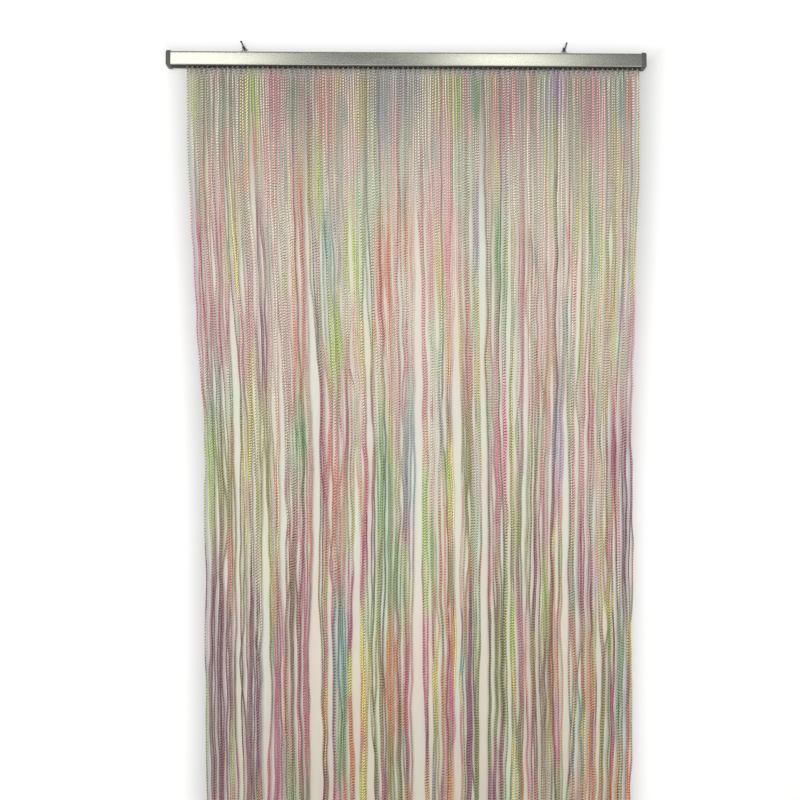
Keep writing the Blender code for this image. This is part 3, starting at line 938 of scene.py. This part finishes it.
strands_low, strands_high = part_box("strands")
clip_strip = make_strip(strands_low, strands_high)
print("strip", [round(1000 * v, 1) for v in clip_strip.dimensions], "mm")

# %% [markdown]
# Plastic
#
# The strip and the end caps are plastic from a mould. Such parts are never quite even: the mould's
# fine grain breaks up the highlight, and slow changes in the gloss come from how the plastic set.
# The end caps are dark grey and the strip is black, so one function makes both.


# %% Moulded plastic
PLASTIC_RELIEF = 0.00015


def moulded_plastic(name, dark, light, grain):
    """Plastic between two tones, with `grain` specks of the mould a metre."""
    material, start = new_finish(name)
    slow = noise(start, (60, 60, 60), detail=4.0)
    fine_grain = noise(start, (grain, grain, grain), detail=1.0)
    colour = mix(start, slow * 0.6 + fine_grain * 0.4, dark, light)
    roughness = 0.42 + 0.16 * slow + 0.08 * fine_grain
    normal = bump(start, fine_grain, PLASTIC_RELIEF)
    finish(start, Base_Color=colour, Roughness=roughness, Normal=normal)
    return material


strip_plastic = moulded_plastic(
    "strip_plastic", dark=(0.006, 0.006, 0.006, 1), light=(0.016, 0.016, 0.015, 1), grain=900)
cap_plastic = moulded_plastic(
    "cap_plastic", dark=(0.060, 0.064, 0.060, 1), light=(0.105, 0.108, 0.100, 1), grain=1400)
clip_strip.data.materials.append(strip_plastic)
print("made", strip_plastic.name, "and", cap_plastic.name)

# %% [markdown]
# The rail's metal
#
# The rail is an aluminium extrusion. The die leaves fine lines along its length, so noise that is
# stretched hard along X makes them. A metal's look is mostly what it mirrors: the lines only smear
# the reflected windows upwards, and the colour is a light grey with a warm cast from the coating.


# %% Extruded aluminium
RAIL_DARK = (0.70, 0.70, 0.64, 1)
RAIL_LIGHT = (0.79, 0.79, 0.72, 1)
RAIL_RELIEF = 0.000005


def drawn_aluminium():
    material, start = new_finish("drawn_aluminium")
    lines = noise(start, (1.5, 1800, 1800))
    broad = noise(start, (0.8, 250, 250))
    dull = noise(start, (14, 60, 60), detail=4.0)
    colour = mix(start, lines * 0.5 + broad * 0.5, RAIL_DARK, RAIL_LIGHT)
    roughness = 0.15 + 0.06 * lines + 0.06 * dull
    normal = bump(start, lines + broad, RAIL_RELIEF)
    finish(start, Base_Color=colour, Metallic=1.0, Roughness=roughness, Normal=normal)
    return material


aluminium = drawn_aluminium()
print("made", aluminium.name)

# %% [markdown]
# Hooks and hangers
#
# The two hooks are black screw hooks, and the hangers are dull steel. Both are handled on a ladder
# and rub on each other, so the paint is worn through in small spots and the steel is spotted. The
# same pattern does both: clouds, cut off hard where they pass a value, choose what shows.


# %% Worn metal
WORN_BAND = (0.72, 0.78)
SCUFFED_GAIN = 1.4
METAL_RELIEF = 0.00004


def worn_metal(name, coat, bare, wear, metal):
    """A coat that is bare in spots, in more of them with more wear. A steel coat has metal 1."""
    material, start = new_finish(name)
    low, high = [edge - wear for edge in WORN_BAND]
    spots = ease(start, noise(start, (320, 320, 320), detail=5.0), low, high)
    scuffs = noise(start, (900, 900, 120))
    scuffed = mix(start, scuffs, coat, tuple(SCUFFED_GAIN * c for c in coat))
    colour = mix(start, spots, scuffed, bare)
    roughness = 0.34 + 0.25 * scuffs
    metallic = metal + (1 - metal) * spots
    normal = bump(start, 1 - spots * 0.5 + scuffs * 0.3, METAL_RELIEF)
    finish(start, Base_Color=colour, Metallic=metallic, Roughness=roughness, Normal=normal)
    return material


hook_paint = worn_metal(
    "hook_paint", coat=(0.020, 0.020, 0.020, 1), bare=(0.22, 0.21, 0.20, 1), wear=0.03, metal=0.0)
hanger_steel = worn_metal(
    "hanger_steel", coat=(0.16, 0.16, 0.155, 1), bare=(0.42, 0.41, 0.39, 1), wear=0.12, metal=1.0)
print("made", hook_paint.name, "and", hanger_steel.name)


# %% Round shading for bent wires and rounded edges
MERGE_WITHIN = 0.00001
SHARP_EDGE = math.radians(40)


def round_shading_tree():
    """Joins the loose triangles and shades them as one round surface, but for real edges."""
    inputs = {"Shape": "Geometry", "Finish": "Material"}
    tree, given, result = new_tree("round_shading", inputs, "Shape")
    add = tree.nodes.new
    join, angle = add("GeometryNodeMergeByDistance"), add("GeometryNodeInputMeshEdgeAngle")
    sharp, smooth = add("FunctionNodeCompare"), add("GeometryNodeSetShadeSmooth")
    edges, real = add("GeometryNodeSetShadeSmooth"), add("GeometryNodeRealizeInstances")
    coat = add("GeometryNodeSetMaterial")
    join.inputs["Distance"].default_value = MERGE_WITHIN
    sharp.data_type = "FLOAT"
    sharp.operation = "GREATER_THAN"
    sharp.inputs["B"].default_value = SHARP_EDGE
    edges.domain = "EDGE"
    edges.inputs["Shade Smooth"].default_value = False
    link_rows(tree, (
        (given, "Shape", join, "Geometry"),
        (join, "Geometry", smooth, "Geometry"),
        (smooth, "Geometry", edges, "Geometry"),
        (angle, "Unsigned Angle", sharp, "A"),
        (sharp, "Result", edges, "Selection"),
        (edges, "Geometry", real, "Geometry"),
        (real, "Geometry", coat, "Geometry"),
        (given, "Finish", coat, "Material"),
        (coat, "Geometry", result, "Shape"),
    ))
    return tree


round_shading = round_shading_tree()
print("made", round_shading.name)

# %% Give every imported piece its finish
NODE_FINISHES = {
    "rail": aluminium,
    "cap_left": cap_plastic,
    "cap_right": cap_plastic,
    "hanger_left": hanger_steel,
    "hanger_right": hanger_steel,
    "hook_left": hook_paint,
    "hook_right": hook_paint,
}


def dress(name, material):
    """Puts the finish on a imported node, and shades it round where it is."""
    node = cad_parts[name]
    node.data.materials.clear()
    node.data.materials.append(material)
    put_tree(node, round_shading, {"Finish": material})


for name, material in NODE_FINISHES.items():
    dress(name, material)
print("dressed", len(NODE_FINISHES), "packed nodes")

# %% [markdown]
# The room
#
# The hooks are screwed into a white wall, and the cords hang close in front of it. Around the curtain
# the wall has a soft painted shade. What shows through the gaps is a warm cream patch, darker than the
# open wall, which is partly the wall's colour and partly painted shade. Over it lies painted bounce
# light: soft clouds of cream and mint, and a cast from the dyes around it. Behind the even, dense top
# the patch is painted dark as shade, and low down it is a little darker again. Those tones are kept
# in the paint, as a soft patch behind the cords. The cast is the mean dye of the cords in front of
# each place, so the wall is a grid that keeps it as a colour on its points. The wall is seen only from
# the
# room: its back lets the view through, so that the curtain can be looked at from behind too. The floor
# lies a little below the cord ends.

# %% Paint that is clear from behind
def pale_paint(name, light, patch=None):
    """Matt paint on the side that faces the room, and nothing on the back."""
    material, start = new_finish(name)
    duller = tuple(0.97 * c for c in light[:3]) + (1,)
    colour = mix(start, noise(start, (3, 3, 3), detail=3.0), duller, light)
    if patch:
        colour = patch(start, colour)
    finish(start, Base_Color=colour, Roughness=0.9)
    tree = start.tree
    behind = start.node("ShaderNodeNewGeometry", output="Backfacing")
    clear = start.node("ShaderNodeBsdfTransparent")
    painted = Shade(tree, tree.nodes["Principled BSDF"].outputs[0])
    both = start.node("ShaderNodeMixShader", None, {0: behind, 1: painted, 2: clear})
    tree.links.new(both.socket, tree.nodes["Material Output"].inputs["Surface"])
    return material


print("paint helper is ready")

# %% The tones of the wall behind the cords, with painted shade and bounce light
TOP_HALF = 0.425
LOW_HALF = 0.392
EDGE_MIDDLE = 0.018
EDGE_DROP = 0.90
INSIDE_BAND = (-0.02, 0.0)
PAINTED_SHADE_BAND = (-0.01, 0.064)
PAINTED_SHADE_TONE = (0.56, 0.56, 0.56, 1)
# Cream and mint: partly the wall's colour, darkened by painted shade and tinted by painted bounce
# light.
CREAM_TONE = (0.69, 0.69, 0.63, 1)
MINT_TONE = (0.67, 0.71, 0.65, 1)
BOUNCE_TINT_CLOUDS = (30, 1, 3)
BOUNCE_TINT_BAND = (0.40, 0.60)
DENSE_PAINTED_SHADE = (0.28, 0.27, 0.25, 1)
DENSE_SHADE_BAND = (-0.10, 0.34)
LOWER_TONE = (0.87, 0.855, 0.83, 1)
LOWER_BAND = (0.90, 1.50)


def painted_light_behind_cords(start, colour):
    """Cream behind the cords, with painted shade and bounce light, and painted shade fading out around
    them.
    """
    place = place_on(start)
    x, z = axis(start, place, "X"), axis(start, place, "Z")
    below = STRIP_FOOT - z
    edge = TOP_HALF - ease(start, below, 0.0, EDGE_DROP) * (TOP_HALF - LOW_HALF)
    aside = start.sum("ABSOLUTE", x - EDGE_MIDDLE) - edge
    away = start.sum("MAXIMUM", aside, z - STRIP_FOOT)
    # Painted shade: the wall darkens towards the curtain's outline, fading out over 64 mm around it.
    painted_shade = 1 - ease(start, away, *PAINTED_SHADE_BAND)
    inside = 1 - ease(start, away, *INSIDE_BAND)
    colour = mix(start, painted_shade, colour, PAINTED_SHADE_TONE)
    # Painted bounce light: soft clouds of cream and mint, times the cast of the dyes kept on the
    # wall's points.
    bounce_tint = ease(start, noise(start, BOUNCE_TINT_CLOUDS), *BOUNCE_TINT_BAND)
    pale = mix(start, bounce_tint, CREAM_TONE, MINT_TONE)
    open_tone = mix(start, 1.0, pale, kept(start, "cast"), "MULTIPLY")
    lower = ease(start, below, *LOWER_BAND)
    open_tone = mix(start, lower, open_tone, LOWER_TONE, "MULTIPLY")
    # Painted shade: the patch is dark behind the dense top, and cream from about 34 cm below the
    # strip.
    open_part = ease(start, below, *DENSE_SHADE_BAND)
    return mix(start, inside, colour, mix(start, open_part, DENSE_PAINTED_SHADE, open_tone))


wall_paint_with_painted_light = pale_paint("wall_paint_with_painted_light", (0.92, 0.92, 0.92, 1), painted_light_behind_cords)
print("made", wall_paint_with_painted_light.name)


# %% Floor
WALL_HALF = 3.0
WALL_GAP = 0.0004
FLOOR_GAP = 0.015
FLOOR_DEPTH = 5.0


def add_stage(name, points, faces, material):
    """A surface of the room, which is no part of the curtain."""
    mesh = bpy.data.meshes.new(name)
    mesh.from_pydata(points, [], faces)
    mesh.materials.append(material)
    sheet = add_object(name, mesh)
    return sheet


floor_height = strands_low.z - FLOOR_GAP
floor_corners = [
    (-WALL_HALF, -FLOOR_DEPTH, floor_height),
    (WALL_HALF, -FLOOR_DEPTH, floor_height),
    (WALL_HALF, WALL_GAP, floor_height),
    (-WALL_HALF, WALL_GAP, floor_height),
]
floor_paint = pale_paint("floor_paint", (0.72, 0.71, 0.69, 1))
floor = add_stage("floor", floor_corners, [(0, 1, 2, 3)], floor_paint)
print("the floor is at", round(floor_height, 3), "m and faces", floor.data.polygons[0].normal[:])

# %% Wall, with the painted bounce light of the dyes
WALL_TOP = 2.0
CAST_PITCH = 0.005
CAST_ROW = 0.040
PAINTED_BOUNCE_REACH = 0.005
PAINTED_BOUNCE_STRENGTH = 0.16
CAST_HALF = 0.465


def painted_bounce_of_dyes(x, z):
    """Painted bounce light: how the dyes of the cords near a row of places colour the light there, 1
    being not at all.
    """
    step = int(np.clip((STRIP_FOOT - z) / FINAL_DROP, 0, 1) * (POINTS - 1))
    near = np.exp(-((x[:, None] - across[None, :, step]) / PAINTED_BOUNCE_REACH)**2) + TINY
    mean = near @ dyed[:, step] / near.sum(axis=1, keepdims=True)
    return 1 - PAINTED_BOUNCE_STRENGTH * (1 - mean / mean.max(axis=1, keepdims=True))


def make_wall():
    """A grid, fine behind the cords, with the painted bounce light of the dyes on each point."""
    x = np.arange(-CAST_HALF, CAST_HALF, CAST_PITCH)
    columns = np.concatenate([[-WALL_HALF], x, [WALL_HALF]])
    rows = np.arange(STRIP_FOOT - FINAL_DROP, STRIP_FOOT, CAST_ROW)
    heights = [floor_height] + list(rows) + [WALL_TOP]
    points, painted_bounces, faces = [], [], []
    for z in heights:
        points += [(place, WALL_GAP, z) for place in columns]
        painted_bounces.append(np.pad(painted_bounce_of_dyes(x, z), ((1, 1), (0, 1)), constant_values=1.0))
    wide = len(columns)
    for row in range(len(heights) - 1):
        for first in range(row * wide, row * wide + wide - 1):
            faces.append((first, first + 1, first + wide + 1, first + wide))
    wall = add_stage("wall", points, faces, wall_paint_with_painted_light)
    # The painted bounce light is kept on the points as the attribute cast.
    cast = wall.data.attributes.new("cast", "FLOAT_COLOR", "POINT")
    cast.data.foreach_set("color", np.concatenate(painted_bounces).astype(np.float32).ravel())
    return wall


wall = make_wall()
print(len(wall.data.polygons), "wall faces, which face", wall.data.polygons[0].normal[:])

# %% [markdown]
# Light
#
# The light is soft and comes from the front. The rail shows where from: it mirrors what is in front
# of it and above the camera, bright at its left end and right of its middle, and dark elsewhere. So
# two tall soft lights stand there, where the mirrored view falls on them, and the sky around them is
# dim. A large lamp below them lights cords and wall without showing in the rail.

# %% Lamps and sky
SKY = (0.66, 0.66, 0.66, 1)
DIM_SKY = (0.16, 0.165, 0.16, 1)
DIM_UP_BAND = (0.02, 0.20)
DIM_AHEAD_BAND = (-0.10, 0.40)
LAMPS = table("name place width height radiance colour", (
    ("window_left", (-1.18, -3.40, 1.45), 1.00, 1.20, 1.55, (1.0, 1.0, 0.93)),
    ("window_right", (0.62, -3.40, 1.45), 0.62, 1.20, 1.60, (1.0, 1.0, 0.93)),
    ("front", (-0.15, -4.20, -0.90), 1.30, 1.30, 24.0, (1.0, 1.0, 1.0)),
))


def make_lamp(name, place, width, height, radiance, colour):
    """A soft upright lamp that faces the curtain. How bright its face should be gives its power."""
    data = bpy.data.lights.new(name, "AREA")
    data.shape = "RECTANGLE"
    data.size = width
    data.size_y = height
    data.energy = radiance * math.pi * width * height
    data.color = colour
    lamp = add_object(name, data)
    lamp.location = place
    lamp.rotation_euler = (math.pi / 2, 0, math.atan2(place[0], -place[1]))
    lamp.visible_camera = False
    return lamp


def make_sky():
    """An even sky, but for its dim part in front and above eye level, which the rail mirrors."""
    world = bpy.data.worlds.new("sky")
    world.use_nodes = True
    start = Shade(world.node_tree)
    direction = start.node("ShaderNodeTexCoord", output="Generated")
    ahead = 0 - axis(start, direction, "Y")
    dim = ease(start, axis(start, direction, "Z"), *DIM_UP_BAND) * ease(start, ahead, *DIM_AHEAD_BAND)
    colour = mix(start, dim, SKY, DIM_SKY)
    background = world.node_tree.nodes["Background"]
    world.node_tree.links.new(colour.socket, background.inputs["Color"])
    return world


for row in LAMPS:
    lamp = make_lamp(**row)
    print(lamp.name, round(lamp.data.energy, 2), "W")
bpy.context.scene.world = make_sky()
bpy.context.scene.view_settings.view_transform = "Standard"

# %% [markdown]
# Keeping the dots of the twist
#
# Cycles cleans its picture of grain, led by two guiding pictures, of colour and of slope. It smooths
# those first, and then the small dots of the twist count as grain and vanish. Here the guiding
# pictures are used as they are. The price is a little more grain on the metal.

# %% Guiding pictures without smoothing
bpy.context.scene.cycles.denoising_prefilter = "NONE"
print("guiding pictures:", bpy.context.scene.cycles.denoising_prefilter)

# %% [markdown]
# The new pieces on the model
#
# The fine cords and their strip ride on the root body of the model, and the imported cords are
# hidden, since these stand for them.

# %% Attach the new pieces and hide the imported cords
for piece in cord_pieces + [clip_strip]:
    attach(piece, "root")
    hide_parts("strands")
